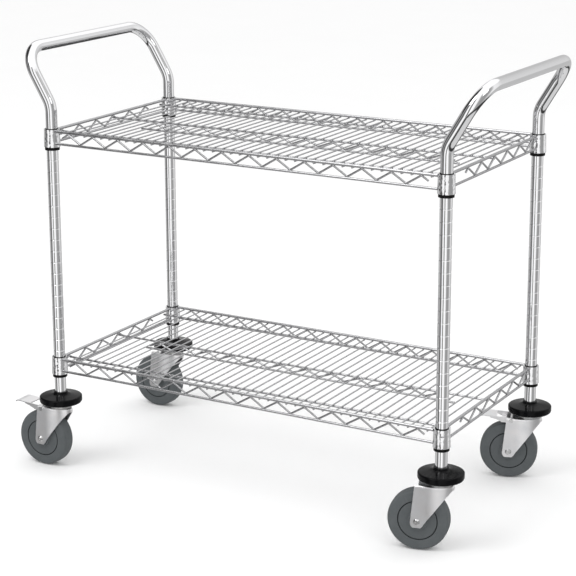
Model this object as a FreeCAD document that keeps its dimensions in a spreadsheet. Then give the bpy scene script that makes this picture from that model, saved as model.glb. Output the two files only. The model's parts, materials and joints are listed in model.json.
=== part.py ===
import FreeCAD, Part
import math
import os
import Sketcher

# Two-shelf wire cart: four grooved tube posts joined in pairs by U handles, two welded
# wire shelves wedged on split sleeves, and four swivel casters, two of them braked.
# Millimetres. The origin is the floor point under the middle of the cart: X runs
# along its length, Y from front to back and Z up.

DIMENSIONS = {
    # Posts. A locking groove circles each post once every inch.
    "post_radius": 12.7,
    "post_wall": 1.5,
    "post_span_x": 940,
    "post_span_y": 457,
    "post_foot": 177.5,
    "post_top": 768,
    "groove_pitch": 25.4,
    "groove_lowest": 224,
    "groove_count": 22,
    "groove_depth": 0.7,
    "groove_width": 3,
    # Handles. Each leg leaves its post upright, leans outward and turns into the grip.
    "handle_wall": 1.5,
    "handle_knee": 826,
    "handle_reach": 71,
    "handle_grip": 943.5,
    "knee_radius": 55,
    "corner_radius": 60,
    "spigot_radius": 11.15,
    "spigot_length": 60,
    # Shelf corners: a tapered collar is driven down over a split tapered sleeve.
    "lower_collar": 220,
    "shelf_spacing": 516,
    "collar_height": 39,
    "collar_top_radius": 17,
    "collar_foot_radius": 18,
    "collar_bore_top": 13.9,
    "collar_bore_foot": 15.8,
    "sleeve_ring_radius": 16.1,
    "sleeve_ridge_gap": 0.1,
    "sleeve_drop": 7,
    "sleeve_rise": 1.2,
    "sleeve_split": 0.8,
    # Shelf wires. The deck pitch sets the truss zigzag, three pitches to a wave.
    "rail_below_collar_top": 4,
    "rail_drop": 26.5,
    "rail_end_gap": 16.8,
    "rail_outset": 8,
    "centre_foot_gap": 78,
    "top_rail_radius": 3.2,
    "bottom_rail_radius": 2.7,
    "zigzag_radius": 2.1,
    "zigzag_bend": 5,
    "long_tail": 15,
    "end_tail": 11.5,
    "centre_tail": 26,
    "zigzag_weld": 0.9,
    "deck_weld": 0.3,
    "stay_weld": 0.6,
    "deck_pitch": 21.57,
    "deck_count": 42,
    "deck_radius": 1.5,
    "deck_overhang": 1.6,
    "stay_radius": 2.4,
    "stay_offset": 190,
    # Bumper under each post.
    "bumper_radius": 47.5,
    "bumper_foot": 153,
    "bumper_wall": 15,
    "bumper_dome": 6.5,
    "bumper_hub_radius": 16,
    # Swivel: stem, ball race and fork.
    "stem_radius": 8,
    "plug_radius": 11.15,
    "plug_length": 52,
    "race_radius": 25,
    "ball_radius": 2.4,
    "ball_circle": 18,
    "ball_count": 14,
    "kingpin_radius": 6,
    "kingpin_head": 9,
    "kingpin_head_height": 4,
    "race_lip": 0.7,
    "running_gap": 0.3,
    "fork_top": 142,
    "fork_sheet": 2.8,
    "fork_half_width": 24.3,
    "fork_front": 28,
    "fork_flat_end": 27,
    "fork_shoulder": 5.5,
    "fork_tail": 49,
    "fork_toe": 57,
    "fork_foot": 51,
    "fork_foot_front": 32.5,
    "fork_bend_back": 12.5,
    "fork_bend_drop": 26,
    "fork_lip_drop": 11,
    "fork_notch_front": 24,
    "trail": 43.4,
    # Wheel.
    "wheel_radius": 63.5,
    "tread_half_width": 16,
    "tread_shoulder": 5,
    "hub_radius": 40.5,
    "hub_half_width": 15.6,
    "ring_groove": 1.2,
    "hub_boss_radius": 19,
    "hub_boss_half_width": 20.4,
    "bush_radius": 8,
    "bush_half_width": 20.9,
    "axle_radius": 4,
    "axle_fit": 0.05,
    "axle_head_radius": 7,
    "axle_head_height": 3.4,
    "socket_radius": 2.9,
    "socket_depth": 2.2,
    "nut_radius": 7.5,
    "nut_height": 6.5,
    # Brake pedal.
    "pedal_pivot_back": 39,
    "pedal_pivot_height": 135.7,
    "pedal_half_width": 21.2,
    "pedal_sheet": 2,
    "pedal_tip": 111,
    "pedal_root": 77,
    "pivot_radius": 3,
    "pivot_head_radius": 4.6,
    "pivot_head_height": 1.8,
}

# Corner name: side along X, side along Y, swivel angle in degrees, braked or not.
CORNERS = {
    "front_left": (-1, -1, 0.9, True),
    "front_right": (1, -1, 13.3, False),
    "rear_left": (-1, 1, -1.5, False),
    "rear_right": (1, 1, 19.7, True),
}

doc = FreeCAD.newDocument("wire_shelf_cart")
NODES = []


# ---------------------------------------------------------------- document helpers

def make_sheet():
    """The spreadsheet of driving dimensions, one aliased cell each."""
    sheet = doc.addObject("Spreadsheet::Sheet", "Sheet")
    for row, (alias, value) in enumerate(DIMENSIONS.items(), start=1):
        sheet.set("A%d" % row, alias)
        sheet.set("B%d" % row, str(value))
        sheet.setAlias("B%d" % row, alias)
    doc.recompute()
    return sheet


SHEET = make_sheet()


def dim(alias):
    """A driving dimension's present value."""
    return float(SHEET.get(alias))


def number_of(expression):
    """The value of an expression over the sheet's aliases."""
    return float(SHEET.evalExpression(expression))


def bind(obj, **expressions):
    """Bind properties to expressions of the sheet; a double underscore is a dot."""
    for name, expression in expressions.items():
        obj.setExpression(name.replace("__", "."), expression)


def keep(obj, node):
    """Name a finished sub-part, so that it is checked and exported."""
    obj.Label = node
    NODES.append(obj)
    return obj


def origin_feature(body, role):
    """A plane or an axis of a body's own origin."""
    return next(item for item in body.Origin.OriginFeatures if item.Role == role)


def add_sketch(body, name, role):
    sketch = body.newObject("Sketcher::SketchObject", name)
    sketch.AttachmentSupport = [(origin_feature(body, role), "")]
    sketch.MapMode = "FlatFace"
    return sketch


def add_outline(sketch, corners):
    """A closed outline whose corners are pairs of expressions from the sketch origin."""
    count = len(corners)
    points = [FreeCAD.Vector(number_of(across), number_of(up), 0) for across, up in corners]
    first = sketch.GeometryCount
    for index in range(count):
        sketch.addGeometry(Part.LineSegment(points[index], points[(index + 1) % count]))
    for index in range(count):
        following = first + (index + 1) % count
        sketch.addConstraint(Sketcher.Constraint("Coincident", first + index, 2, following, 1))
    for index, (across, up) in enumerate(corners):
        bind_corner(sketch, first + index, "DistanceX", across, points[index].x)
        bind_corner(sketch, first + index, "DistanceY", up, points[index].y)


def bind_corner(sketch, line, kind, expression, value):
    """Hold a line's start point at an expression's distance from the sketch origin."""
    number = sketch.addConstraint(Sketcher.Constraint(kind, -1, 1, line, 1, value))
    sketch.setExpression("Constraints[%d]" % number, expression)


def add_circle(sketch, radius, across="0", up="0"):
    """A circle with bound radius and centre."""
    centre = FreeCAD.Vector(number_of(across), number_of(up), 0)
    start_radius = number_of(radius)
    circle = sketch.addGeometry(Part.Circle(centre, FreeCAD.Vector(0, 0, 1), start_radius))
    number = sketch.addConstraint(Sketcher.Constraint("Radius", circle, start_radius))
    sketch.setExpression("Constraints[%d]" % number, radius)
    for kind, expression, value in (("DistanceX", across, centre.x), ("DistanceY", up, centre.y)):
        number = sketch.addConstraint(Sketcher.Constraint(kind, -1, 1, circle, 3, value))
        sketch.setExpression("Constraints[%d]" % number, expression)


def add_revolution(body, sketch):
    """Turn a sketch a full turn about its own vertical axis."""
    turned = body.newObject("PartDesign::Revolution", body.Name + "Turned")
    turned.Profile = sketch
    turned.ReferenceAxis = (sketch, ["V_Axis"])
    turned.Angle = 360
    return turned


def turned_body(node, role, corners):
    """A PartDesign body turned from one closed outline of radius and height pairs."""
    body = doc.addObject("PartDesign::Body", node)
    sketch = add_sketch(body, node + "Outline", role)
    add_outline(sketch, corners)
    add_revolution(body, sketch)
    return keep(body, node)


def primitive(kind, name, placement=None, **expressions):
    """A Part primitive with its sizes bound to the sheet."""
    obj = doc.addObject("Part::" + kind, name)
    if placement is not None:
        obj.Placement = placement
    bind(obj, **expressions)
    return obj


def boolean(kind, name, base, tool):
    obj = doc.addObject("Part::" + kind, name)
    obj.Base = base
    obj.Tool = tool
    return obj


def compound(node, members):
    """Separate solids of one kind that share a node."""
    obj = doc.addObject("Part::Compound", node)
    obj.Links = members
    return keep(obj, node)


def sheet_feature(node, shape, placement=None):
    """A sub-part whose shape comes from the functions below, sized from the sheet."""
    obj = doc.addObject("Part::Feature", node)
    obj.Shape = shape
    if placement is not None:
        obj.Placement = placement
    return keep(obj, node)


def turn_about(axis, degrees, base=None):
    base = base or FreeCAD.Vector()
    return FreeCAD.Placement(base, FreeCAD.Rotation(axis, degrees))


AXIS_X = FreeCAD.Vector(1, 0, 0)
AXIS_Y = FreeCAD.Vector(0, 1, 0)
AXIS_Z = FreeCAD.Vector(0, 0, 1)


# ---------------------------------------------------------------- bent wire and tube

def rounded_path(points, radii):
    """Straight runs joined by tangent arcs: one radius for each inner point."""
    edges = []
    start = points[0]
    for before, corner, after, radius in zip(points, points[1:], points[2:], radii):
        back = (before - corner).normalize()
        ahead = (after - corner).normalize()
        half_angle = back.getAngle(ahead) / 2
        setback = radius / math.tan(half_angle)
        middle = corner + (back + ahead).normalize() * (radius / math.sin(half_angle) - radius)
        entry = corner + back * setback
        leave = corner + ahead * setback
        edges.append(Part.LineSegment(start, entry).toShape())
        edges.append(Part.Arc(entry, middle, leave).toShape())
        start = leave
    edges.append(Part.LineSegment(start, points[-1]).toShape())
    return Part.Wire(edges)


def swept_rod(points, radii, rod_radius):
    """A round rod along a rounded path."""
    path = rounded_path(points, radii)
    ring = Part.makeCircle(rod_radius, points[0], points[1] - points[0])
    return path.makePipeShell([Part.Wire([ring])], True, False)


def straight_rod(start, end, rod_radius):
    return Part.makeCylinder(rod_radius, (end - start).Length, start, end - start)


# ---------------------------------------------------------------- posts and handles

def place_at_corner(obj, corner, height="0"):
    side_x, side_y, _, _ = CORNERS[corner]
    bind(obj, Placement__Base__x="%d * Sheet.post_span_x / 2" % side_x,
         Placement__Base__y="%d * Sheet.post_span_y / 2" % side_y,
         Placement__Base__z=height)


def make_post(corner):
    """Grooved steel tube, open at both ends."""
    node = corner + "_post"
    body = doc.addObject("PartDesign::Body", node)
    ring = add_sketch(body, node + "Ring", "XY_Plane")
    add_circle(ring, "Sheet.post_radius")
    add_circle(ring, "Sheet.post_radius - Sheet.post_wall")
    tube = body.newObject("PartDesign::Pad", node + "Tube")
    tube.Profile = ring
    bind(tube, Length="Sheet.post_top - Sheet.post_foot")
    doc.recompute()
    cutter = add_sketch(body, node + "GrooveOutline", "XZ_Plane")
    middle = "Sheet.groove_lowest - Sheet.post_foot"
    outside = "Sheet.post_radius + 1"
    floor = "Sheet.post_radius - Sheet.groove_depth"
    add_outline(cutter, [(outside, middle + " - Sheet.groove_width * 0.8"),
                         (floor, middle + " - Sheet.groove_width / 4"),
                         (floor, middle + " + Sheet.groove_width / 4"),
                         (outside, middle + " + Sheet.groove_width * 0.8")])
    groove = body.newObject("PartDesign::Groove", node + "Groove")
    groove.Profile = cutter
    groove.ReferenceAxis = (cutter, ["V_Axis"])
    groove.Angle = 360
    pattern = body.newObject("PartDesign::LinearPattern", node + "Grooves")
    pattern.Originals = [groove]
    pattern.Direction = (origin_feature(body, "Z_Axis"), [""])
    bind(pattern, Length="(Sheet.groove_count - 1) * Sheet.groove_pitch",
         Occurrences="Sheet.groove_count")
    body.Tip = pattern
    place_at_corner(body, corner, "Sheet.post_foot")
    return keep(body, node)


def handle_points(side_x):
    """Corner points of a handle's centre line, from its front end to its rear end."""
    span_x = side_x * dim("post_span_x") / 2
    reach_x = span_x + side_x * dim("handle_reach")
    half_y = dim("post_span_y") / 2
    end, knee, grip = dim("post_top"), dim("handle_knee"), dim("handle_grip")
    front = [FreeCAD.Vector(span_x, -half_y, end),
             FreeCAD.Vector(span_x, -half_y, knee),
             FreeCAD.Vector(reach_x, -half_y, grip)]
    rear = [FreeCAD.Vector(point.x, half_y, point.z) for point in reversed(front)]
    return front + rear


def make_handle(node, side_x):
    """One bent tube from post to post."""
    points = handle_points(side_x)
    knee, turn = dim("knee_radius"), dim("corner_radius")
    radii = [knee, turn, turn, knee]
    outer = swept_rod(points, radii, dim("post_radius"))
    bore = swept_rod(points, radii, dim("post_radius") - dim("handle_wall"))
    return sheet_feature(node, outer.cut(bore))


def make_spigots():
    """Plugs that join each handle leg to its post inside the upper collar."""
    plugs = []
    for corner in CORNERS:
        plug = primitive("Cylinder", corner + "_spigot_plug", Radius="Sheet.spigot_radius",
                         Height="Sheet.spigot_length")
        place_at_corner(plug, corner, "Sheet.post_top - Sheet.spigot_length / 2")
        plugs.append(plug)
    return compound("handle_spigots", plugs)


# ---------------------------------------------------------------- shelves

def make_collars(tier, foot):
    """Four tapered corner collars of one shelf."""
    collars = []
    for corner in CORNERS:
        name = "%s_%s_collar" % (tier, corner)
        outside = primitive("Cone", name + "_outside", Radius1="Sheet.collar_foot_radius",
                            Radius2="Sheet.collar_top_radius", Height="Sheet.collar_height")
        bore = primitive("Cone", name + "_bore", Radius1="Sheet.collar_bore_foot",
                         Radius2="Sheet.collar_bore_top", Height="Sheet.collar_height")
        place_at_corner(outside, corner, foot)
        place_at_corner(bore, corner, foot)
        collars.append(boolean("Cut", name, outside, bore))
    return compound(tier + "_collars", collars)


def sleeve_outline(groove_rise):
    """Radius and height of a sleeve's section, heights from the collar's foot."""
    height = dim("collar_height")
    foot_radius, top_radius = dim("collar_bore_foot"), dim("collar_bore_top")
    wall = dim("post_radius")
    ridge = wall - dim("groove_depth") + dim("sleeve_ridge_gap")
    half_ridge = dim("groove_width") / 4
    return [(wall, -dim("sleeve_drop")), (dim("sleeve_ring_radius"), -dim("sleeve_drop")),
            (dim("sleeve_ring_radius"), 0), (foot_radius, 0), (top_radius, height),
            (top_radius, height + dim("sleeve_rise")), (wall, height + dim("sleeve_rise")),
            (wall, groove_rise + half_ridge), (ridge, groove_rise + half_ridge / 2),
            (ridge, groove_rise - half_ridge / 2), (wall, groove_rise - half_ridge)]


def make_sleeves(tier, foot_height):
    """Split sleeves of one shelf: two half shells a corner, a ridge in a post groove."""
    steps = round((foot_height + dim("collar_height") / 2 - dim("groove_lowest"))
                  / dim("groove_pitch"))
    groove_rise = dim("groove_lowest") + steps * dim("groove_pitch") - foot_height
    points = [FreeCAD.Vector(radius, 0, rise) for radius, rise in sleeve_outline(groove_rise)]
    section = Part.Face(Part.makePolygon(points + points[:1]))
    ring = section.revolve(FreeCAD.Vector(), AXIS_Z, 360)
    split = dim("sleeve_split")
    reach = 4 * dim("post_radius")
    halves = []
    for side in (0, 180):
        half_space = Part.makeBox(2 * reach, reach, 3 * reach,
                                  FreeCAD.Vector(-reach, split / 2, -reach))
        half_space.rotate(FreeCAD.Vector(), AXIS_Z, side)
        halves.append(ring.common(half_space))
    shells = []
    for side_x, side_y, _, _ in CORNERS.values():
        for half in halves:
            shell = half.copy()
            shell.translate(FreeCAD.Vector(side_x * dim("post_span_x") / 2,
                                           side_y * dim("post_span_y") / 2, foot_height))
            shells.append(shell)
    return sheet_feature(tier + "_sleeves", Part.makeCompound(shells))


def zigzag_points(peaks, first_tail, last_tail, top, bottom):
    """Corner points of a truss zigzag, peaks along X; a tail is a free end's run."""
    half_wave = 1.5 * dim("deck_pitch")
    slope = (top - bottom) / half_wave
    points = []
    if first_tail:
        points.append(FreeCAD.Vector(peaks[0] - first_tail, 0, top - first_tail * slope))
    for index, peak in enumerate(peaks):
        points.append(FreeCAD.Vector(peak, 0, top))
        if index < len(peaks) - 1:
            points.append(FreeCAD.Vector(peak + half_wave, 0, bottom))
    if last_tail:
        points.append(FreeCAD.Vector(peaks[-1] + last_tail, 0, top - last_tail * slope))
    return points


def truss_shape(top_rail, bottom_rail, peaks, tails):
    """Top rail, bottom rail and zigzag welded into one piece in the X Z plane.

    Each rail is its start, its end, its height and its radius."""
    top_start, top_end, top_height, top_radius = top_rail
    low_start, low_end, low_height, low_radius = bottom_rail
    wire = dim("zigzag_radius")
    bend = dim("zigzag_bend")
    weld = dim("zigzag_weld")
    top = top_height - top_radius - wire + weld
    bottom = low_height + low_radius + wire - weld
    lean = math.atan2(top - bottom, 1.5 * dim("deck_pitch"))
    overshoot = bend * (1 / math.cos(lean) - 1)
    points = zigzag_points(peaks, tails[0], tails[1], top + overshoot, bottom - overshoot)
    zigzag = swept_rod(points, [bend] * (len(points) - 2), wire)
    upper = straight_rod(FreeCAD.Vector(top_start, 0, top_height),
                         FreeCAD.Vector(top_end, 0, top_height), top_radius)
    lower = straight_rod(FreeCAD.Vector(low_start, 0, low_height),
                         FreeCAD.Vector(low_end, 0, low_height), low_radius)
    return upper.multiFuse([lower, zigzag])


def side_truss(span, outset, peaks, tails):
    """A perimeter truss between two collars, its top rail at height zero."""
    half = span / 2 - math.sqrt(dim("rail_end_gap") ** 2 - outset ** 2)
    return truss_shape((-half, half, 0, dim("top_rail_radius")),
                       (-half, half, -dim("rail_drop"), dim("bottom_rail_radius")),
                       peaks, tails)


def wave_peaks(count, first):
    """Positions of a row of peaks, a wave of three deck pitches apart; first is in waves."""
    wave = 3 * dim("deck_pitch")
    return [wave * (first + step) for step in range(count)]


def make_long_trusses(tier, rail_height):
    """Front and rear trusses: fourteen peaks and two short free tails."""
    peaks = wave_peaks(14, -6.5)
    tails = (dim("long_tail"), dim("long_tail"))
    outset = dim("rail_outset")
    for name, side_y, turn in (("front", -1, 0), ("rear", 1, 180)):
        shape = side_truss(dim("post_span_x"), outset, peaks, tails)
        base = FreeCAD.Vector(0, side_y * (dim("post_span_y") / 2 + outset), rail_height)
        sheet_feature("%s_%s_truss" % (tier, name), shape, turn_about(AXIS_Z, turn, base))


def make_end_trusses(tier, rail_height):
    """Left and right trusses: one pattern of six peaks, turned end for end."""
    peaks = wave_peaks(6, -2)
    tails = (dim("end_tail"), dim("end_tail"))
    for name, side_x, turn in (("left", -1, -90), ("right", 1, 90)):
        shape = side_truss(dim("post_span_y"), 0, peaks, tails)
        base = FreeCAD.Vector(side_x * dim("post_span_x") / 2, 0, rail_height)
        sheet_feature("%s_%s_truss" % (tier, name), shape, turn_about(AXIS_Z, turn, base))


def stay_drop():
    """How far a lengthwise wire's axis lies under the top rails' axis."""
    return dim("top_rail_radius") + 2 * dim("deck_radius") + dim("stay_radius") - dim("stay_weld")


def make_centre_truss(tier, rail_height):
    """Truss under the middle of the deck; its foot rail stops short of the ends."""
    half = dim("post_span_x") / 2
    foot_half = half - dim("centre_foot_gap")
    peaks = wave_peaks(12, -5.5)
    tails = (dim("centre_tail"), dim("centre_tail"))
    shape = truss_shape((-half, half, -stay_drop(), dim("stay_radius")),
                        (-foot_half, foot_half, -dim("rail_drop"), dim("stay_radius")),
                        peaks, tails)
    sheet_feature(tier + "_centre_truss", shape,
                  FreeCAD.Placement(FreeCAD.Vector(0, 0, rail_height), FreeCAD.Rotation()))


def make_deck(tier, rail_height):
    """Cross wires of the deck, welded under the front and rear rails, and two stays."""
    radius = dim("deck_radius")
    overhang = dim("post_span_y") / 2 + dim("rail_outset") + dim("deck_overhang")
    height = rail_height - dim("top_rail_radius") - radius + dim("deck_weld")
    count = int(dim("deck_count"))
    rods = []
    for index in range(count):
        across = (index - (count - 1) / 2) * dim("deck_pitch")
        rods.append(straight_rod(FreeCAD.Vector(across, -overhang, height),
                                 FreeCAD.Vector(across, overhang, height), radius))
    half = dim("post_span_x") / 2
    for side_y in (-1, 1):
        along = side_y * dim("stay_offset")
        rods.append(straight_rod(FreeCAD.Vector(-half, along, rail_height - stay_drop()),
                                 FreeCAD.Vector(half, along, rail_height - stay_drop()),
                                 dim("stay_radius")))
    sheet_feature(tier + "_deck_wires", rods[0].multiFuse(rods[1:]))


def make_shelf(tier, foot, foot_height):
    make_collars(tier, foot)
    make_sleeves(tier, foot_height)
    rail_height = foot_height + dim("collar_height") - dim("rail_below_collar_top")
    make_long_trusses(tier, rail_height)
    make_end_trusses(tier, rail_height)
    make_centre_truss(tier, rail_height)
    make_deck(tier, rail_height)


# ---------------------------------------------------------------- casters

def swivel_angle(corner):
    return CORNERS[corner][2]


def place_on_swivel(obj, corner):
    """A caster piece drawn about its swivel axis, wheel trailing towards its own -X."""
    obj.Placement = turn_about(AXIS_Z, swivel_angle(corner))
    place_at_corner(obj, corner)
    return obj


def place_on_axle(obj, corner):
    """A wheel piece drawn about its own centre, axle along its own Y."""
    obj.Placement = turn_about(AXIS_Z, swivel_angle(corner))
    side_x, side_y, angle, _ = CORNERS[corner]
    bind(obj,
         Placement__Base__x="%d * Sheet.post_span_x / 2 - Sheet.trail * cos(%g deg)" % (side_x, angle),
         Placement__Base__y="%d * Sheet.post_span_y / 2 - Sheet.trail * sin(%g deg)" % (side_y, angle),
         Placement__Base__z="Sheet.wheel_radius")
    return obj


def make_bumper(corner):
    """Round moulded bumper that the post stands on."""
    rim, foot = "Sheet.bumper_radius", "Sheet.bumper_foot"
    hub = "Sheet.bumper_hub_radius"
    shoulder = "Sheet.bumper_foot + Sheet.bumper_wall"
    dome = "Sheet.bumper_dome"
    corners = [("Sheet.stem_radius", foot),
               (rim + " - 4", foot),
               (rim + " - 1", foot + " + 1.2"),
               (rim, foot + " + 4"),
               (rim, shoulder + " - 3.5"),
               (rim + " - 1", shoulder + " - 1"),
               (rim + " - 3.5", shoulder),
               (rim + " - 11", shoulder + " + 0.3 * " + dome),
               (hub + " + 6", shoulder + " + 0.65 * " + dome),
               (hub, shoulder + " + " + dome),
               (hub + " - 1", "Sheet.post_foot"),
               ("Sheet.stem_radius", "Sheet.post_foot")]
    return place_on_swivel(turned_body(corner + "_bumper", "XZ_Plane", corners), corner)


def make_stem(corner):
    """King pin, upper race, stem and the plug that fills the foot of the post."""
    race, gap = "Sheet.race_radius", "Sheet.running_gap"
    pin_top = "Sheet.fork_top + " + gap
    roof = pin_top + " + 2 * Sheet.ball_radius + 0.2"
    head_top = "Sheet.fork_top - Sheet.fork_sheet - " + gap
    head_foot = head_top + " - Sheet.kingpin_head_height"
    inner_lip = "Sheet.ball_circle - Sheet.ball_radius - Sheet.race_lip"
    outer_lip = "Sheet.ball_circle + Sheet.ball_radius + Sheet.race_lip"
    plug_foot = "Sheet.post_foot"
    plug_head = "Sheet.post_foot + Sheet.plug_length"
    corners = [("0", head_foot),
               ("Sheet.kingpin_head - 2", head_foot),
               ("Sheet.kingpin_head", head_top + " - 2"),
               ("Sheet.kingpin_head", head_top),
               ("Sheet.kingpin_radius", head_top),
               ("Sheet.kingpin_radius", pin_top),
               (inner_lip, pin_top),
               (inner_lip, roof),
               (outer_lip, roof),
               (outer_lip, pin_top),
               (race, pin_top),
               (race, roof + " + 2"),
               (race + " - 4", "Sheet.bumper_foot"),
               ("Sheet.stem_radius", "Sheet.bumper_foot"),
               ("Sheet.stem_radius", plug_foot),
               ("Sheet.plug_radius", plug_foot),
               ("Sheet.plug_radius", plug_head + " - 3"),
               ("Sheet.plug_radius - 2", plug_head),
               ("0", plug_head)]
    return place_on_swivel(turned_body(corner + "_stem", "XZ_Plane", corners), corner)


def make_balls(corner):
    """The ring of swivel balls between the stem's race and the fork."""
    count = int(dim("ball_count"))
    balls = []
    for index in range(count):
        angle = 360 * index / count
        ball = primitive("Sphere", "%s_ball_%d" % (corner, index + 1), Radius="Sheet.ball_radius",
                         Placement__Base__x="Sheet.ball_circle * cos(%g deg)" % angle,
                         Placement__Base__y="Sheet.ball_circle * sin(%g deg)" % angle,
                         Placement__Base__z="Sheet.fork_top + Sheet.running_gap + Sheet.ball_radius")
        balls.append(ball)
    return place_on_swivel(compound(corner + "_swivel_balls", balls), corner)


def crown_solid(name, inset, foot, height):
    """Straight-sided block with an elliptical front, as seen from above."""
    half_width = "(Sheet.fork_half_width - %s)" % inset
    block = primitive("Box", name + "_block", Length="Sheet.fork_toe - Sheet.fork_flat_end + 2",
                      Width="2 * " + half_width, Height=height,
                      Placement__Base__x="-Sheet.fork_toe - 2",
                      Placement__Base__y="-" + half_width, Placement__Base__z=foot)
    rim = primitive("Ellipse", name + "_rim", MinorRadius=half_width,
                    MajorRadius="Sheet.fork_front + Sheet.fork_flat_end - %s" % inset,
                    Placement__Base__x="-Sheet.fork_flat_end", Placement__Base__z=foot)
    front = doc.addObject("Part::Extrusion", name + "_front")
    front.Base = rim
    front.DirMode = "Custom"
    front.Dir = AXIS_Z
    front.Solid = True
    bind(front, LengthFwd=height)
    return boolean("Fuse", name, block, front)


def side_profile(name):
    """The fork seen from the side, as a prism across its whole width."""
    outline = doc.addObject("Sketcher::SketchObject", name + "_outline")
    outline.Placement = turn_about(AXIS_X, 90)
    foot, toe, top = "Sheet.fork_foot", "-Sheet.fork_toe", "Sheet.fork_top"
    lip = top + " - Sheet.fork_lip_drop"
    add_outline(outline, [("-Sheet.fork_foot_front - 3", foot),
                          ("-Sheet.fork_foot_front + 1", foot + " + 4"),
                          ("-Sheet.fork_foot_front + 5", foot + " + 11"),
                          ("Sheet.fork_bend_back", top + " - Sheet.fork_bend_drop"),
                          ("Sheet.fork_front - 3", lip),
                          ("Sheet.fork_front + 2", lip + " + 1"),
                          ("Sheet.fork_front + 2", top + " + 5"),
                          ("-Sheet.fork_tail + 3", top + " + 5"),
                          ("-Sheet.fork_tail + 2", top + " + 1.6"),
                          ("-Sheet.fork_tail", top + " - 3"),
                          (toe, foot + " + 10"),
                          (toe + " + 1.5", foot + " + 4"),
                          (toe + " + 5", foot)])
    prism = doc.addObject("Part::Extrusion", name)
    prism.Base = outline
    prism.DirMode = "Normal"
    prism.Solid = True
    prism.Symmetric = True
    bind(prism, LengthFwd="4 * Sheet.fork_half_width")
    return prism


def cross_hole(name, radius, back, height):
    """A cylinder along Y right through both fork legs."""
    hole = primitive("Cylinder", name, turn_about(AXIS_X, 90), Radius=radius,
                     Height="4 * Sheet.fork_half_width",
                     Placement__Base__x="-(%s)" % back,
                     Placement__Base__y="2 * Sheet.fork_half_width",
                     Placement__Base__z=height)
    return hole


def make_fork(corner, braked):
    """Pressed sheet fork: two legs, a wrapped front and a top plate over the king pin."""
    node = corner + "_fork"
    block = crown_solid(node + "_block", "0", "Sheet.fork_foot - 1",
                        "Sheet.fork_top - Sheet.fork_foot + 1")
    doc.recompute()
    outside = doc.addObject("Part::Fillet", node + "_outside")
    outside.Base = block
    shoulder = dim("fork_shoulder")
    outside.Edges = [(number, shoulder, shoulder) for number in crown_rim_edges(block.Shape)]
    inside = crown_solid(node + "_inside", "Sheet.fork_sheet", "Sheet.fork_foot - 2",
                         "Sheet.fork_top - Sheet.fork_foot + 2 - Sheet.fork_sheet")
    shell = boolean("Cut", node + "_shell", outside, inside)
    trimmed = boolean("Common", node + "_trimmed", shell, side_profile(node + "_profile"))
    tools = doc.addObject("Part::MultiFuse", node + "_cutters")
    tools.Shapes = fork_cutters(node, braked)
    cut = boolean("Cut", node, trimmed, tools)
    return keep(place_on_swivel(cut, corner), node)


def fork_cutters(node, braked):
    """The opening over the wheel and the holes for the king pin, axle and pedal rivet."""
    half_inside = "(Sheet.fork_half_width - Sheet.fork_sheet)"
    notch = primitive("Box", node + "_notch", Length="Sheet.fork_toe",
                      Width="2 * " + half_inside, Height="6 * Sheet.fork_sheet",
                      Placement__Base__x="-Sheet.fork_toe - Sheet.fork_notch_front",
                      Placement__Base__y="-" + half_inside,
                      Placement__Base__z="Sheet.fork_top - 3 * Sheet.fork_sheet")
    pin_hole = primitive("Cylinder", node + "_pin_hole", Height="6 * Sheet.fork_sheet",
                         Radius="Sheet.kingpin_radius + Sheet.axle_fit",
                         Placement__Base__z="Sheet.fork_top - 3 * Sheet.fork_sheet")
    axle_hole = cross_hole(node + "_axle_hole", "Sheet.axle_radius", "Sheet.trail",
                           "Sheet.wheel_radius")
    cutters = [notch, pin_hole, axle_hole]
    if braked:
        cutters.append(cross_hole(node + "_pivot_hole", "Sheet.pivot_radius",
                                  "Sheet.pedal_pivot_back", "Sheet.pedal_pivot_height"))
    return cutters


def crown_rim_edges(shape):
    """Numbers of the top edges along the legs and round the front, but not the rear one."""
    top, rear = dim("fork_top"), -dim("fork_toe") - 2
    numbers = []
    for number, edge in enumerate(shape.Edges, start=1):
        box = edge.BoundBox
        on_top = box.ZMin > top - 0.01
        along_rear = box.XMax < rear + 0.01
        if on_top and not along_rear:
            numbers.append(number)
    return numbers


def make_axle(corner):
    """Axle bolt with a domed socket head on one leg, and its nut on the other."""
    node = corner + "_axle"
    outer, head = "Sheet.fork_half_width", "Sheet.axle_head_height"
    shank = primitive("Cylinder", node + "_shank", turn_about(AXIS_X, 90),
                      Radius="Sheet.axle_radius",
                      Height="2 * Sheet.fork_half_width + Sheet.nut_height + 2",
                      Placement__Base__y=outer + " + Sheet.nut_height + 2")
    dome = primitive("Cone", node + "_dome", turn_about(AXIS_X, 90),
                     Radius1="Sheet.axle_head_radius", Radius2="0.62 * Sheet.axle_head_radius",
                     Height=head, Placement__Base__y="-" + outer)
    socket = primitive("Prism", node + "_socket", turn_about(AXIS_X, 90),
                       Circumradius="Sheet.socket_radius", Height="2 * Sheet.socket_depth",
                       Placement__Base__y="-%s - %s + Sheet.socket_depth" % (outer, head))
    solid_bolt = boolean("Fuse", node + "_solid_bolt", shank, dome)
    bolt = boolean("Cut", node + "_bolt", solid_bolt, socket)
    blank = primitive("Prism", node + "_nut_blank", turn_about(AXIS_X, 90),
                      Circumradius="Sheet.nut_radius", Height="Sheet.nut_height",
                      Placement__Base__y=outer + " + Sheet.nut_height")
    thread = primitive("Cylinder", node + "_nut_thread", turn_about(AXIS_X, 90),
                       Radius="Sheet.axle_radius", Height="3 * Sheet.nut_height",
                       Placement__Base__y=outer + " + 2 * Sheet.nut_height")
    nut = boolean("Cut", node + "_nut", blank, thread)
    return place_on_axle(compound(node, [bolt, nut]), corner)


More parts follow.
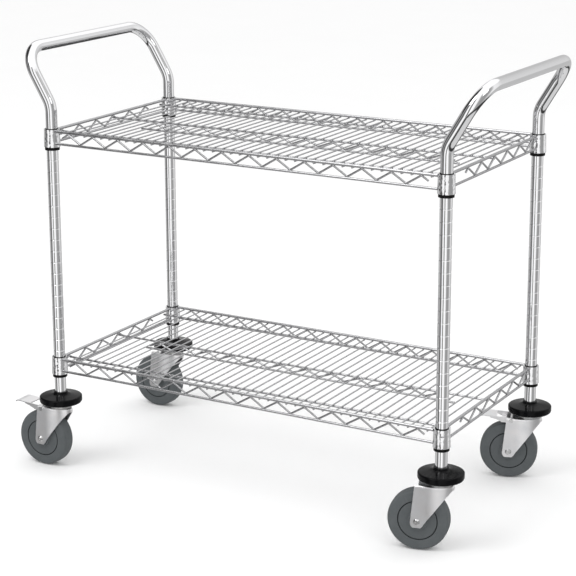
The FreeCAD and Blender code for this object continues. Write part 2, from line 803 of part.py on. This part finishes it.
def make_tread(corner):
    """Rubber tyre with rounded shoulders."""
    rim, half = "Sheet.wheel_radius", "Sheet.tread_half_width"
    side = "Sheet.tread_shoulder"
    bore = "Sheet.hub_radius"
    above = [(bore, "Sheet.hub_half_width - Sheet.ring_groove"),
             (bore + " + Sheet.ring_groove", half),
             (rim + " - " + side, half),
             (rim + " - 0.55 * " + side, half + " - 0.25 * " + side),
             (rim + " - 0.2 * " + side, half + " - 0.6 * " + side),
             (rim, half + " - 1.4 * " + side)]
    corners = above + [(radius, "-(%s)" % height) for radius, height in reversed(above)]
    return place_on_axle(turned_body(corner + "_tread", "XY_Plane", corners), corner)


def make_hub(corner):
    """Wheel centre with a bushed boss; a fine groove parts it from the tread."""
    bore, boss = "Sheet.bush_radius", "Sheet.hub_boss_radius"
    rim, half = "Sheet.hub_radius", "Sheet.hub_half_width"
    above = [(bore, "Sheet.hub_boss_half_width"),
             (boss + " - 1.5", "Sheet.hub_boss_half_width"),
             (boss, "Sheet.hub_boss_half_width - 1.5"),
             (boss + " + 1", half),
             (rim + " - Sheet.ring_groove", half),
             (rim, half + " - Sheet.ring_groove")]
    corners = above + [(radius, "-(%s)" % height) for radius, height in reversed(above)]
    return place_on_axle(turned_body(corner + "_hub", "XY_Plane", corners), corner)


def make_bush(corner):
    """Plain bearing that turns on the axle."""
    bore = "Sheet.axle_radius + Sheet.axle_fit"
    skin, half = "Sheet.bush_radius", "Sheet.bush_half_width"
    corners = [(bore, half), (skin, half), (skin, "-" + half), (bore, "-" + half)]
    return place_on_axle(turned_body(corner + "_bush", "XY_Plane", corners), corner)


def plate_across(points, half_width):
    """A prism of a side outline, across the caster from side to side."""
    corners = [FreeCAD.Vector(along, -half_width, height) for along, height in points]
    face = Part.Face(Part.makePolygon(corners + corners[:1]))
    return face.extrude(FreeCAD.Vector(0, 2 * half_width, 0))


def pedal_shape():
    """Bent sheet pedal: two cheeks on the pivot, a foot plate and a brake shoe."""
    back, height = dim("pedal_pivot_back"), dim("pedal_pivot_height")
    half, sheet, tip = dim("pedal_half_width"), dim("pedal_sheet"), dim("pedal_tip")
    root = dim("pedal_root")
    cheek = [(-back + 5.5, height - 2.5), (-back + 5, height + 3.5), (-back, height + 5.5),
             (-back - 10, height + 6.3), (-root, height + 8), (-root - 10, height + 8.6),
             (-root - 8, height + 4.5), (-root + 4, height + 1.5), (-back - 22, height - 3.5),
             (-back - 9, height - 6), (-back + 2, height - 5.5)]
    cheeks = plate_across(cheek, half).cut(plate_across(
        [(-tip, 0), (0, 0), (0, 2 * height), (-tip, 2 * height)], half - sheet))
    plate = plate_across([(-root + 6, height + 7.5 - sheet), (-root + 6, height + 7.5),
                          (-root - 20, height + 9.5), (-tip + 4, height + 9.3),
                          (-tip, height + 7.2), (-tip, height + 4.5),
                          (-tip + 1.8, height + 5.2), (-tip + 5, height + 9.3 - sheet),
                          (-root - 20, height + 9.5 - sheet)], half)
    shoe = plate_across([(-back - 11, height - 5.8), (-back - 11, height - 1),
                         (-back - 22, height - 0.5), (-back - 22, height - 5.2)], half - sheet / 2)
    hole = Part.makeCylinder(dim("pivot_radius") + dim("axle_fit"), 4 * half,
                             FreeCAD.Vector(-back, -2 * half, height), AXIS_Y)
    return cheeks.multiFuse([plate, shoe]).removeSplitter().cut(hole)


def make_pedal(corner):
    return place_on_swivel(sheet_feature(corner + "_brake_pedal", pedal_shape()), corner)


def make_pivot(corner):
    """Rivet across the fork that the pedal turns on."""
    outer = "Sheet.fork_half_width"
    base = {"Placement__Base__x": "-Sheet.pedal_pivot_back",
            "Placement__Base__z": "Sheet.pedal_pivot_height"}
    node = corner + "_brake_pivot"
    shank = primitive("Cylinder", node + "_shank", turn_about(AXIS_X, 90),
                      Radius="Sheet.pivot_radius", Height="2 * Sheet.fork_half_width",
                      Placement__Base__y=outer, **base)
    heads = []
    for name, start in (("near", "-" + outer), ("far", outer + " + Sheet.pivot_head_height")):
        heads.append(primitive("Cylinder", "%s_%s_head" % (node, name), turn_about(AXIS_X, 90),
                               Radius="Sheet.pivot_head_radius",
                               Height="Sheet.pivot_head_height",
                               Placement__Base__y=start, **base))
    rivet = doc.addObject("Part::MultiFuse", node)
    rivet.Shapes = [shank] + heads
    return keep(place_on_swivel(rivet, corner), node)


def make_caster(corner):
    braked = CORNERS[corner][3]
    make_bumper(corner)
    make_stem(corner)
    make_balls(corner)
    make_fork(corner, braked)
    make_axle(corner)
    make_tread(corner)
    make_hub(corner)
    make_bush(corner)
    if braked:
        make_pedal(corner)
        make_pivot(corner)


# ---------------------------------------------------------------- checks and export

def check_document():
    """Stop on any failed object or unusable sub-part shape."""
    for obj in doc.Objects:
        if "Invalid" in obj.State or "Error" in obj.State:
            raise RuntimeError("%s failed: %s" % (obj.Label, obj.State))
    for obj in NODES:
        if obj.Shape.isNull() or not obj.Shape.isValid() or not obj.Shape.Solids:
            raise RuntimeError("%s has no valid solid" % obj.Label)


def check_post_grooves(post):
    """The grooves must take metal away from the plain tube."""
    height = dim("post_top") - dim("post_foot")
    bore = dim("post_radius") - dim("post_wall")
    plain = math.pi * (dim("post_radius") ** 2 - bore ** 2) * height
    if post.Shape.Volume > plain - 1:
        raise RuntimeError("the grooves of %s cut nothing" % post.Label)


def export_nodes():
    os.makedirs("parts", exist_ok=True)
    for obj in NODES:
        obj.Shape.exportStep("parts/%s.step" % obj.Label)


def main():
    posts = [make_post(corner) for corner in CORNERS]
    make_handle("left_handle", -1)
    make_handle("right_handle", 1)
    make_spigots()
    make_shelf("lower", "Sheet.lower_collar", dim("lower_collar"))
    make_shelf("upper", "Sheet.lower_collar + Sheet.shelf_spacing",
               dim("lower_collar") + dim("shelf_spacing"))
    for corner in CORNERS:
        make_caster(corner)
    doc.recompute()
    check_document()
    for post in posts:
        check_post_grooves(post)
    export_nodes()
    print("%d nodes" % len(NODES))


main()
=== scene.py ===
import json
import math
import random

import bmesh
import bpy
from mathutils import Matrix, Quaternion, Vector


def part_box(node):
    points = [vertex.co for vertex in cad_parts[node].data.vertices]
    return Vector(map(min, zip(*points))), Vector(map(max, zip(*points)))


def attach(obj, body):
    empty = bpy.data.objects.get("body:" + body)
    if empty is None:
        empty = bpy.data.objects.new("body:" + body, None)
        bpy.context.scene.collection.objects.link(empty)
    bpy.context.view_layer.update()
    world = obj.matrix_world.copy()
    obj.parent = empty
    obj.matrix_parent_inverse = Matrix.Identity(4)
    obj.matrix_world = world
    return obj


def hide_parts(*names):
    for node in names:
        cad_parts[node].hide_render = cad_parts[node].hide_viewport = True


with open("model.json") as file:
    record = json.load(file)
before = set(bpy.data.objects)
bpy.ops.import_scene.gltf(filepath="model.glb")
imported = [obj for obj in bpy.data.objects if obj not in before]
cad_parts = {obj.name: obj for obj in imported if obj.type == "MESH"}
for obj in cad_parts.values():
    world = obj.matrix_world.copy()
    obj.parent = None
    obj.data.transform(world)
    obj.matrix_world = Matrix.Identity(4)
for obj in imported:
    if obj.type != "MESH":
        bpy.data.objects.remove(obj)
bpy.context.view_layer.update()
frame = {"nodes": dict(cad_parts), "record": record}

MM = 0.001
CORNERS = ("front_left", "front_right", "rear_left", "rear_right")
TIERS = ("lower", "upper")
LATHE_STEPS = 128                      # round a turned piece
ARC_STEPS = 5                          # round one corner of its outline
PIECE_SEED = 7
BEAD_SIZE = (0.0024, 0.0026, 0.0011)   # half sizes of a weld bead, in metres
BEAD_GROWTH = (0.85, 1.15)
BEAD_TWIST = 0.4                       # radians either way
WIRE_SPACING = 5 * MM                  # less than the gap between two cross wires
WIRE_END_DEPTH = 0.1 * MM

# Half widths and boss radius of a wheel, in millimetres.
TREAD_HALF = 16
HUB_HALF = 15.6
BOSS_HALF = 20.4
BOSS_RADIUS = 19

SLOTS = {row["node"]: row["material_slot"] for row in frame["record"]["subparts"]}
BODIES = {node: body for body, nodes in frame["record"]["behaviour"]["bodies"].items()
          for node in nodes}

# Camera: its direction and distance are from the point that it aims at.
CAMERA_AZIMUTH = 29.944
CAMERA_ELEVATION = 13.963
CAMERA_ROLL = -0.146
CAMERA_DISTANCE = 3.971
CAMERA_AIM = Vector((-0.0182, 0.0100, 0.5514))
CAMERA_LENS = 113.69
CAMERA_SHIFT = -0.1      # the upright posts stay nearly parallel, as in an architect's view
SENSOR_WIDTH = 36

# Studio that the chrome reflects. WALLS is brightness by degrees round from the camera,
# anticlockwise seen from above. GROUND is brightness by the sine of the angle below level.
WALLS = ((-180, 0.95), (-172, 0.50), (-150, 0.45), (-122, 0.42), (-112, 0.06), (-98, 0.06),
         (-88, 0.45), (-78, 0.10), (-64, 0.10), (-56, 1.00), (-36, 1.15), (-31, 0.10),
         (-20, 0.10), (-15, 1.15), (14, 1.05), (26, 0.38), (62, 0.34), (78, 0.45), (90, 0.95),
         (106, 0.90), (124, 0.74), (165, 0.55), (174, 0.60), (180, 0.95))
GROUND = ((0.40, 0.55), (0.45, 0.55), (0.48, 0.05), (0.62, 0.05), (0.66, 0.68), (1.0, 0.75))
FLAG_TOWARDS = Vector((-0.80, 0.05, 0.60))       # a dark flag up at the cart's left
FLAG_REACH = 24                                  # degrees from its middle to its edge
FLAG_EDGE = 3
FLAG_TONE = 0.04

# Soft boxes: name, azimuth, elevation, distance, size and watts.
SOFT_BOXES = (("key_box", -25, 50, 4.0, 1.8, 40),
              ("fill_box", 75, 35, 4.5, 1.6, 14))
FLOOR_HALF = 30
FLOOR_DROP = 0.0002             # keeps the floor clear of the tyres
ROOF_FOOT = (0.42, 0.62)        # sine of its height, behind the cart and in front
ROOF_BLUR = 0.12
FLOOR_EDGE = (-0.04, -0.38)     # the same for the floor's far edge
FLOOR_BLUR = 0.08
BEHIND, IN_FRONT = -0.5, 0.1    # cosine round from the camera where they change over
CEILING = 1.15
AMBIENT = 1.02           # what dull surfaces gather
BACKDROP = 1.1           # what the camera sees


# ---------------------------------------------------------------- shader helpers

class Shader:
    """A material or world node tree with short ways to add and join nodes."""

    def __init__(self, owner):
        owner.use_nodes = True
        self.tree = owner.node_tree
        self.tree.nodes.clear()

    def add(self, kind, settings=None, **inputs):
        """A node; inputs are values or sockets, by the socket's name with _ for spaces."""
        made = self.tree.nodes.new(kind)
        for name, value in (settings or {}).items():
            setattr(made, name, value)
        for name, value in inputs.items():
            wanted = name.replace("_", " ")
            self.feed(next(one for one in made.inputs if one.name == wanted and one.enabled),
                      value)
        return made

    def feed(self, socket, value):
        if isinstance(value, bpy.types.NodeSocket):
            self.tree.links.new(value, socket)
        else:
            socket.default_value = value

    def maths(self, operation, first, second=0.0, third=0.0):
        made = self.tree.nodes.new("ShaderNodeMath")
        made.operation = operation
        for socket, value in zip(made.inputs, (first, second, third)):
            self.feed(socket, value)
        return made.outputs[0]

    def coordinates(self, scale=(1, 1, 1)):
        """The piece's own coordinates in metres, stretched by a scale."""
        place = self.add("ShaderNodeTexCoord")
        return self.add("ShaderNodeMapping", Vector=place.outputs["Object"],
                        Scale=scale).outputs["Vector"]

    def noise(self, scale, detail=4.0, stretch=(1, 1, 1), roughness=0.55):
        return self.add("ShaderNodeTexNoise", Vector=self.coordinates(stretch), Scale=scale,
                        Detail=detail, Roughness=roughness).outputs["Fac"]

    def spread(self, value, low, high, from_low=0.3, from_high=0.7):
        """A noise value mapped onto a range."""
        return self.add("ShaderNodeMapRange", Value=value, From_Min=from_low, From_Max=from_high,
                        To_Min=low, To_Max=high).outputs["Result"]

    def blend_colours(self, factor, first, second):
        ramp = self.add("ShaderNodeValToRGB", Fac=factor)
        ramp.color_ramp.elements[0].position = 0.25
        ramp.color_ramp.elements[1].position = 0.75
        ramp.color_ramp.elements[0].color = (*first, 1)
        ramp.color_ramp.elements[1].color = (*second, 1)
        return ramp.outputs["Color"]

    def bump(self, height, distance, under=None):
        made = self.add("ShaderNodeBump", Height=height, Distance=distance, Strength=1.0)
        if under is not None:
            self.feed(made.inputs["Normal"], under)
        return made.outputs["Normal"]

    def surface(self, **inputs):
        shader = self.add("ShaderNodeBsdfPrincipled", **inputs)
        self.add("ShaderNodeOutputMaterial", Surface=shader.outputs["BSDF"])


MATERIALS = {}


def material(slot):
    """The material that stands for one of the record's slots, made once."""
    if slot not in MATERIALS:
        made = bpy.data.materials.new("look_" + slot)
        BUILDERS[slot](Shader(made))
        MATERIALS[slot] = made
    return MATERIALS[slot]


# ---------------------------------------------------------------- materials

def chrome(shader, tint, dull, ripple_size, ripple_height):
    """Bright plating: faint tarnish, wiping smears, hairlines and a slow ripple."""
    smear = shader.noise(38, detail=7)
    hairline = shader.noise(700, detail=2, stretch=(1, 1, 0.05))
    tarnish = shader.noise(9, detail=5, roughness=0.65)
    ripple = shader.noise(ripple_size, detail=1.5)
    roughness = shader.maths("ADD", shader.spread(smear, dull * 0.6, dull * 1.5),
                             shader.spread(hairline, 0.0, 0.03))
    slow = shader.bump(ripple, ripple_height)
    normal = shader.bump(hairline, 0.000012, under=slow)
    light = tuple(part * 1.05 for part in tint)
    colour = shader.blend_colours(tarnish, tint, light)
    shader.surface(Base_Color=colour, Metallic=1.0, Roughness=roughness, Normal=normal)


def chrome_tube(shader):
    chrome(shader, (0.86, 0.86, 0.87), 0.05, 14, 0.0004)


def chrome_collar(shader):
    chrome(shader, (0.84, 0.84, 0.85), 0.05, 130, 0.0009)


def chrome_wire(shader):
    chrome(shader, (0.48, 0.48, 0.49), 0.22, 60, 0.00006)


def zinc(shader, warm, cool, dull):
    """Passivated zinc plate: cloudy tint, fine spangle and rolling marks."""
    cloud = shader.noise(26, detail=6, roughness=0.6)
    grain = shader.noise(420, detail=3, stretch=(1, 1, 0.12))
    spangle = shader.add("ShaderNodeTexVoronoi", Vector=shader.coordinates(),
                         Scale=240).outputs["Distance"]
    roughness = shader.maths("ADD", shader.spread(cloud, dull * 0.85, dull * 1.2),
                             shader.maths("MULTIPLY", spangle, 0.06))
    soft = shader.bump(cloud, 0.0002)
    normal = shader.bump(grain, 0.00003, under=soft)
    colour = shader.blend_colours(cloud, warm, cool)
    shader.surface(Base_Color=colour, Metallic=1.0, Roughness=roughness, Normal=normal)


def zinc_fork(shader):
    zinc(shader, (0.96, 0.94, 0.94), (0.86, 0.87, 0.89), 0.31)


def zinc_steel(shader):
    zinc(shader, (0.58, 0.57, 0.56), (0.50, 0.51, 0.52), 0.38)


def bolt_steel(shader):
    zinc(shader, (0.74, 0.73, 0.72), (0.64, 0.65, 0.66), 0.24)


def ball_steel(shader):
    zinc(shader, (0.66, 0.66, 0.66), (0.60, 0.60, 0.61), 0.12)


def moulding(shader, dark, light, dull, grain_height, specular=0.5):
    """Moulded plastic or rubber: fine grain, soft mottling, wear on the edges."""
    mottle = shader.noise(45, detail=6, roughness=0.6)
    grain = shader.noise(1400, detail=3)
    swell = shader.noise(30, detail=2)
    worn = shader.add("ShaderNodeNewGeometry").outputs["Pointiness"]
    edge = shader.spread(worn, 0.0, 0.35, 0.52, 0.6)
    colour = shader.blend_colours(shader.maths("ADD", mottle, edge), dark, light)
    roughness = shader.maths("ADD", shader.spread(mottle, dull * 0.85, dull * 1.15),
                             shader.spread(grain, 0.0, 0.05))
    slow = shader.bump(swell, 0.0002)
    normal = shader.bump(grain, grain_height, under=slow)
    shader.surface(Base_Color=colour, Roughness=roughness, Normal=normal,
                   Specular_IOR_Level=specular)


def black_plastic(shader):
    moulding(shader, (0.002, 0.002, 0.002), (0.006, 0.006, 0.006), 0.36, 0.00002, 0.1)


def black_rubber(shader):
    moulding(shader, (0.0015, 0.0015, 0.0015), (0.005, 0.005, 0.006), 0.12, 0.000006, 0.08)


def grey_tread(shader):
    moulding(shader, (0.080, 0.089, 0.093), (0.102, 0.111, 0.115), 0.6, 0.00004, 0.25)


def grey_hub(shader):
    moulding(shader, (0.080, 0.089, 0.093), (0.096, 0.105, 0.109), 0.5, 0.00002, 0.25)


def bush_plastic(shader):
    moulding(shader, (0.62, 0.60, 0.54), (0.72, 0.70, 0.64), 0.4, 0.00001)


BUILDERS = {
    "chrome_tube": chrome_tube,
    "chrome_collar": chrome_collar,
    "chrome_wire": chrome_wire,
    "zinc_fork": zinc_fork,
    "zinc_steel": zinc_steel,
    "bolt_steel": bolt_steel,
    "ball_steel": ball_steel,
    "black_plastic": black_plastic,
    "black_rubber": black_rubber,
    "grey_tread": grey_tread,
    "grey_hub": grey_hub,
    "bush_plastic": bush_plastic,
}


def finish_nodes():
    """Give every CAD node the material of its slot."""
    for row in frame["record"]["subparts"]:
        slots = frame["nodes"][row["node"]].material_slots
        for place in slots:
            place.material = material(row["material_slot"])


# ---------------------------------------------------------------- moulded pieces

def rounded_outline(corners):
    """A closed outline from corners of radius, height and how far their rounding reaches."""
    points = []
    for index, (radius, height, reach) in enumerate(corners):
        here = Vector((radius, height))
        before = Vector(corners[index - 1][:2])
        after = Vector(corners[(index + 1) % len(corners)][:2])
        start = here + (before - here).normalized() * reach
        end = here + (after - here).normalized() * reach
        for step in range(ARC_STEPS + 1):
            along = step / ARC_STEPS
            points.append(start * (1 - along) ** 2 + here * 2 * along * (1 - along)
                          + end * along ** 2)
    return points


def lathe(name, corners, place, node):
    """A ring turned about its own Z axis from a closed outline, standing for a CAD node."""
    outline = rounded_outline(corners)
    shape = bmesh.new()
    rings = []
    for step in range(LATHE_STEPS):
        turn = 2 * math.pi * step / LATHE_STEPS
        rings.append([shape.verts.new(place @ Vector((point.x * math.cos(turn),
                                                      point.x * math.sin(turn), point.y)))
                      for point in outline])
    for step, ring in enumerate(rings):
        after = rings[(step + 1) % LATHE_STEPS]
        for index in range(len(outline)):
            following = (index + 1) % len(outline)
            shape.faces.new((ring[index], after[index], after[following], ring[following]))
    bmesh.ops.recalc_face_normals(shape, faces=shape.faces)
    return finish_piece(name, shape, node)


def finish_piece(name, shape, node):
    """Turn a bmesh into a smooth piece with the body and the slot of a CAD node."""
    mesh = bpy.data.meshes.new(name)
    shape.to_mesh(mesh)
    shape.free()
    mesh.polygons.foreach_set("use_smooth", [True] * len(mesh.polygons))
    piece = bpy.data.objects.new(name, mesh)
    bpy.context.scene.collection.objects.link(piece)
    piece.modifiers.new("even_normals", "WEIGHTED_NORMAL")
    slot = SLOTS[node]
    mesh.materials.append(material(slot))
    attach(piece, BODIES[node])
    return piece


def both_sides(upper):
    """A closed outline from its upper half, the lower half mirrored below."""
    return upper + [(radius, -height, reach) for radius, height, reach in reversed(upper)]


def make_bumper(corner):
    """Rubber bumper disc: rounded rim, shallow dish and a collar round the post."""
    node = corner + "_bumper"
    low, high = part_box(node)
    rim = (high[0] - low[0]) / 2
    top = high[2] - low[2]
    centre = Vector(((low[0] + high[0]) / 2, (low[1] + high[1]) / 2, low[2]))
    corners = [(8.2, 0, 0.3), (rim / MM - 2.2, 0, 1.4), (rim / MM - 0.1, 3, 1.4),
               (rim / MM - 0.1, 13.4, 1.2), (rim / MM - 2.4, 15, 1.2),
               (rim / MM - 12, 16.4, 3), (22, 18.6, 4), (16.6, 20.6, 1.2),
               (15.2, top / MM, 0.8), (8.2, top / MM, 0.2)]
    piece = lathe(corner + "_bumper_disc", in_metres(corners), Matrix.Translation(centre), node)
    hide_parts(node)


def in_metres(corners):
    return [tuple(value * MM for value in corner) for corner in corners]


def wheel_place(corner):
    """Matrix that puts a piece's own Z axis on a wheel's axle, from the record's joint."""
    joint = next(row for row in frame["record"]["behaviour"]["joints"]
                 if row["name"] == corner + "_wheel_spin")
    turn = Vector(joint["axis"]).to_track_quat("Z", "X").to_matrix().to_4x4()
    return Matrix.Translation(Vector(joint["pos_m"])) @ turn


def node_radius(node):
    """Half a round node's height, in millimetres."""
    low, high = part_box(node)
    return (high[2] - low[2]) / 2 / MM


def make_tread(corner):
    """Moulded tyre: crowned face, rounded shoulders and the mould's parting line."""
    node = corner + "_tread"
    rim, bore = node_radius(node), node_radius(corner + "_hub")
    upper = [(bore + 0.1, TREAD_HALF - 5.2, 0.2), (bore + 1.1, TREAD_HALF - 5.2, 0.3),
             (bore + 1.2, TREAD_HALF, 0.5), (rim - 4.2, TREAD_HALF, 1.2),
             (rim - 1.7, TREAD_HALF - 1.8, 1.4), (rim - 0.3, TREAD_HALF - 5.5, 1.6),
             (rim - 0.15, 0.7, 0.2), (rim - 0.02, 0.3, 0.1)]
    piece = lathe(corner + "_tyre", in_metres(both_sides(upper)), wheel_place(corner), node)
    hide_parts(node)


def make_hub(corner):
    """Wheel centre: flat web, raised boss and a recessed ring round the bush."""
    node = corner + "_hub"
    rim, bore = node_radius(node), node_radius(corner + "_bush")
    upper = [(bore + 0.1, BOSS_HALF, 0.2), (bore + 2.6, BOSS_HALF, 0.3),
             (bore + 3.2, BOSS_HALF - 0.8, 0.3), (bore + 6, BOSS_HALF - 0.8, 0.3),
             (bore + 6.6, BOSS_HALF, 0.3), (BOSS_RADIUS - 0.6, BOSS_HALF, 1.2),
             (BOSS_RADIUS + 1, HUB_HALF, 1.5), (rim - 1.1, HUB_HALF, 0.4),
             (rim - 1, HUB_HALF - 5, 0.3), (rim - 0.1, HUB_HALF - 5, 0.2)]
    piece = lathe(corner + "_wheel_centre", in_metres(both_sides(upper)), wheel_place(corner),
                  node)
    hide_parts(node)


# ---------------------------------------------------------------- welds

def wire_places(node):
    """X of each of a deck's cross wires, from the ends of the wires in its mesh."""
    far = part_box(node)[1][1] - WIRE_END_DEPTH
    ends = sorted(point.co.x for point in frame["nodes"][node].data.vertices if point.co.y > far)
    places = [[ends[0]]]
    for value in ends[1:]:
        if value - places[-1][-1] > WIRE_SPACING:
            places.append([])
        places[-1].append(value)
    return [(group[0] + group[-1]) / 2 for group in places]


def add_bead(shape, draws, centre, size):
    """One small uneven drop of weld, flattened where it bridges two wires."""
    grow = draws.uniform(*BEAD_GROWTH)
    turn = Matrix.Rotation(draws.uniform(-BEAD_TWIST, BEAD_TWIST), 4, "Z")
    stretch = Matrix.Diagonal(Vector((*[part * grow for part in size], 1)))
    bmesh.ops.create_icosphere(shape, subdivisions=2, radius=1,
                               matrix=Matrix.Translation(centre) @ turn @ stretch)


def make_weld_beads(tier, draws):
    """Beads where the deck's cross wires meet the long rails and the centre rail."""
    deck = tier + "_deck_wires"
    shape = bmesh.new()
    for side in ("front", "rear", "centre"):
        low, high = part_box("%s_%s_truss" % (tier, side))
        radius = (high[1] - low[1]) / 2
        centre_y = (low[1] + high[1]) / 2
        if side == "centre":
            meet = high[2]
        else:
            meet = high[2] - 2 * radius
        for place in wire_places(deck):
            add_bead(shape, draws, Vector((place, centre_y, meet)), BEAD_SIZE)
    finish_piece(tier + "_weld_beads", shape, deck)


def make_pieces():
    for corner in CORNERS:
        make_bumper(corner)
        make_tread(corner)
        make_hub(corner)
    draws = random.Random(PIECE_SEED)
    for tier in TIERS:
        make_weld_beads(tier, draws)


# ---------------------------------------------------------------- stage

def make_floor():
    mesh = bpy.data.meshes.new("floor")
    half = FLOOR_HALF
    mesh.from_pydata([(-half, -half, 0), (half, -half, 0), (half, half, 0), (-half, half, 0)],
                     [], [(0, 1, 2, 3)])
    floor = bpy.data.objects.new("floor", mesh)
    bpy.context.scene.collection.objects.link(floor)
    floor.location.z = -FLOOR_DROP
    pale = bpy.data.materials.new("floor_pale")
    shader = Shader(pale)
    tone = shader.blend_colours(shader.noise(3, detail=5), (0.955, 0.955, 0.955),
                                (0.965, 0.965, 0.965))
    shader.surface(Base_Color=tone, Roughness=0.9, Specular_IOR_Level=0.1)
    mesh.materials.append(pale)
    floor.visible_glossy = False


def ramp_of_levels(shader, position, stops):
    """Grey levels along a position from 0 to 1."""
    ramp = shader.add("ShaderNodeValToRGB", Fac=position)
    elements = ramp.color_ramp.elements
    while len(elements) < len(stops):
        elements.new(0.5)
    for element, (place, level) in zip(elements, stops):
        element.position = place
        element.color = (level, level, level, 1)
    return ramp.outputs["Color"]


def blend_tones(shader, factor, first, second):
    return shader.add("ShaderNodeMix", A=first, B=second, Factor=factor).outputs["Result"]


def flag_cover(shader, direction):
    """1 where a direction meets the dark flag, 0 outside it, blurred at its edge."""
    near = shader.add("ShaderNodeVectorMath", {"operation": "DOT_PRODUCT"}, Vector=direction)
    near.inputs[1].default_value = FLAG_TOWARDS.normalized()
    return shader.spread(near.outputs["Value"], 0.0, 1.0,
                         math.cos(math.radians(FLAG_REACH + FLAG_EDGE)),
                         math.cos(math.radians(FLAG_REACH)))


def make_world():
    """White studio: soft boxes and dark flags round the walls, a bright ceiling, a pale floor."""
    world = bpy.data.worlds.new("studio")
    bpy.context.scene.world = world
    shader = Shader(world)
    direction = shader.add("ShaderNodeTexCoord").outputs["Generated"]
    split = shader.add("ShaderNodeSeparateXYZ", Vector=direction)
    compass = shader.maths("ARCTAN2", split.outputs["Y"], split.outputs["X"])
    facing = shader.maths("SUBTRACT", compass, math.radians(CAMERA_AZIMUTH - 90))
    around = shader.maths("WRAP", facing, math.pi, -math.pi)
    walls = ramp_of_levels(shader, shader.spread(around, 0, 1, -math.pi, math.pi),
                           [(degrees / 360 + 0.5, level) for degrees, level in WALLS])
    rise = split.outputs["Z"]
    ahead = shader.maths("COSINE", around)
    floor_tones = ramp_of_levels(shader, shader.maths("MULTIPLY", rise, -1.0), GROUND)
    roof_foot = shader.spread(ahead, *ROOF_FOOT, BEHIND, IN_FRONT)
    floor_edge = shader.spread(ahead, *FLOOR_EDGE, BEHIND, IN_FRONT)
    over = shader.maths("SUBTRACT", rise, roof_foot)
    under = shader.maths("SUBTRACT", rise, floor_edge)
    upper = blend_tones(shader, shader.spread(over, 0.0, 1.0, 0.0, ROOF_BLUR), walls, CEILING)
    room = blend_tones(shader, shader.spread(under, 1.0, 0.0, -FLOOR_BLUR, 0.0), upper,
                       floor_tones)
    studio = blend_tones(shader, flag_cover(shader, direction), room, FLAG_TONE)
    rays = shader.add("ShaderNodeLightPath").outputs
    soft = blend_tones(shader, rays["Is Diffuse Ray"], studio, AMBIENT)
    shown = blend_tones(shader, rays["Is Camera Ray"], soft, BACKDROP)
    sky = shader.add("ShaderNodeBackground", Color=(1, 1, 1, 1), Strength=shown)
    shader.add("ShaderNodeOutputWorld", Surface=sky.outputs["Background"])


def add_soft_box(name, azimuth, elevation, distance, size, power):
    """A square soft box that faces the middle of the cart."""
    light = bpy.data.lights.new(name, "AREA")
    light.shape = "SQUARE"
    light.size = size
    light.energy = power
    box = bpy.data.objects.new(name, light)
    bpy.context.scene.collection.objects.link(box)
    back = direction_towards(azimuth, elevation)
    box.location = CAMERA_AIM + back * distance
    box.rotation_mode = "QUATERNION"
    box.rotation_quaternion = (-back).to_track_quat("-Z", "Y")


def make_lights():
    for row in SOFT_BOXES:
        add_soft_box(*row)


def direction_towards(azimuth, elevation):
    """Unit vector from the cart towards a viewer at that azimuth and elevation."""
    turn, rise = math.radians(azimuth), math.radians(elevation)
    return Vector((math.sin(turn) * math.cos(rise), -math.cos(turn) * math.cos(rise),
                   math.sin(rise)))


def make_camera():
    camera = bpy.data.cameras.new("camera")
    camera.lens = CAMERA_LENS
    camera.shift_y = CAMERA_SHIFT
    camera.sensor_width = SENSOR_WIDTH
    camera.clip_end = 100
    seat = bpy.data.objects.new("camera", camera)
    bpy.context.scene.collection.objects.link(seat)
    back = direction_towards(CAMERA_AZIMUTH, CAMERA_ELEVATION)
    roll = Quaternion((0, 0, 1), math.radians(CAMERA_ROLL))
    seat.location = CAMERA_AIM + back * CAMERA_DISTANCE
    seat.rotation_mode = "QUATERNION"
    seat.rotation_quaternion = (-back).to_track_quat("-Z", "Y") @ roll
    bpy.context.scene.camera = seat


def main():
    finish_nodes()
    make_pieces()
    make_floor()
    make_world()
    make_lights()
    make_camera()
    bpy.context.scene.view_settings.view_transform = "Standard"


main()
